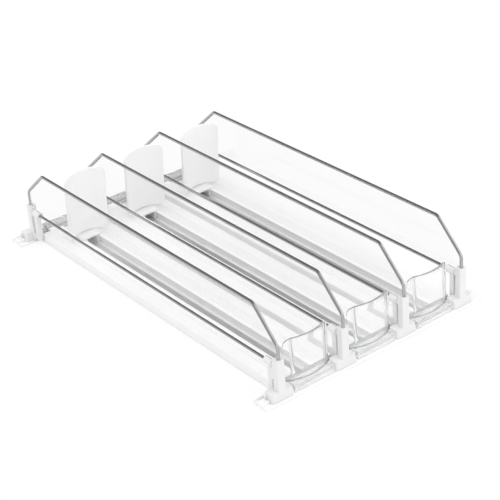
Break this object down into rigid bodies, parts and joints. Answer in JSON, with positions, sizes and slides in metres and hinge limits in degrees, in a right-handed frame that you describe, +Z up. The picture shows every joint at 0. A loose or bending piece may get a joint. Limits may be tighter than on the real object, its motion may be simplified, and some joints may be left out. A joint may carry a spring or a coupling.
{
  "type": "spring pusher can organizer",
  "caption": "Free-standing can organizer: lanes between wire dividers on toothed rails, each with a tray, a clear front stop and a spring-driven pusher.",
  "frame": {"origin": "centre of the bounding box's bottom face, on the surface that the rails stand on", "axes": "+X to the right seen from the front, +Y to the back, +Z up; the clear stops are at -Y"},
  "size_m": [0.254, 0.4078, 0.0829],
  "materials": {
    "white_plastic": "satin",
    "clear_plastic": "clear, polished",
    "clear_sheet": "clear, thin sheet",
    "chromed_wire": "polished",
    "spring_steel": "satin",
    "drum_plastic": "matt"
  },
  "bodies": {
    "organizer": {"front_rail": "white_plastic", "rear_rail": "white_plastic", "front_clip_1": "white_plastic", "rear_clip_1": "white_plastic", "top_wire_1": "chromed_wire", "lower_wire_1": "chromed_wire", "divider_sheet_1": "clear_sheet", "front_clip_2": "white_plastic", "rear_clip_2": "white_plastic", "top_wire_2": "chromed_wire", "lower_wire_2": "chromed_wire", "divider_sheet_2": "clear_sheet", "front_clip_3": "white_plastic", "rear_clip_3": "white_plastic", "top_wire_3": "chromed_wire", "lower_wire_3": "chromed_wire", "divider_sheet_3": "clear_sheet", "front_clip_4": "white_plastic", "rear_clip_4": "white_plastic", "top_wire_4": "chromed_wire", "lower_wire_4": "chromed_wire", "divider_sheet_4": "clear_sheet", "tray_1": "white_plastic", "front_stop_1": "clear_plastic", "rear_stop_1": "clear_plastic", "spring_ribbon_1": "spring_steel", "ribbon_rivet_1": "spring_steel", "tray_2": "white_plastic", "front_stop_2": "clear_plastic", "rear_stop_2": "clear_plastic", "spring_ribbon_2": "spring_steel", "ribbon_rivet_2": "spring_steel", "tray_3": "white_plastic", "front_stop_3": "clear_plastic", "rear_stop_3": "clear_plastic", "spring_ribbon_3": "spring_steel", "ribbon_rivet_3": "spring_steel"},
    "pusher_1": {"pusher_1": "white_plastic"},
    "drum_1": {"spring_drum_1": "drum_plastic", "spring_coil_1": "spring_steel"},
    "pusher_2": {"pusher_2": "white_plastic"},
    "drum_2": {"spring_drum_2": "drum_plastic", "spring_coil_2": "spring_steel"},
    "pusher_3": {"pusher_3": "white_plastic"},
    "drum_3": {"spring_drum_3": "drum_plastic", "spring_coil_3": "spring_steel"}
  },
  "joints": [
    {"name": "pusher_slide_1", "type": "slide", "parent": "organizer", "child": "pusher_1", "axis": [0, -1, 0], "range_m": [0, 0.315], "stiffness_N_per_m": 2, "springref_m": 1.5, "deforming": ["spring_ribbon_1"]},
    {"name": "drum_turn_1", "type": "hinge", "parent": "pusher_1", "child": "drum_1", "pos_m": [-0.0725, 0.15935, 0.009], "axis": [1, 0, 0], "continuous": true},
    {"name": "pusher_slide_2", "type": "slide", "parent": "organizer", "child": "pusher_2", "axis": [0, -1, 0], "range_m": [0, 0.315], "stiffness_N_per_m": 2, "springref_m": 1.5, "deforming": ["spring_ribbon_2"]},
    {"name": "drum_turn_2", "type": "hinge", "parent": "pusher_2", "child": "drum_2", "pos_m": [-0.0025, 0.15935, 0.009], "axis": [1, 0, 0], "continuous": true},
    {"name": "pusher_slide_3", "type": "slide", "parent": "organizer", "child": "pusher_3", "axis": [0, -1, 0], "range_m": [0, 0.315], "stiffness_N_per_m": 2, "springref_m": 1.5, "deforming": ["spring_ribbon_3"]},
    {"name": "drum_turn_3", "type": "hinge", "parent": "pusher_3", "child": "drum_3", "pos_m": [0.0675, 0.15935, 0.009], "axis": [1, 0, 0], "continuous": true}
  ],
  "couplings": [
    {"joint": "drum_turn_1", "follows": "pusher_slide_1", "rad_per_m": 142.86},
    {"joint": "drum_turn_2", "follows": "pusher_slide_2", "rad_per_m": 142.86},
    {"joint": "drum_turn_3", "follows": "pusher_slide_3", "rad_per_m": 142.86}
  ]
}
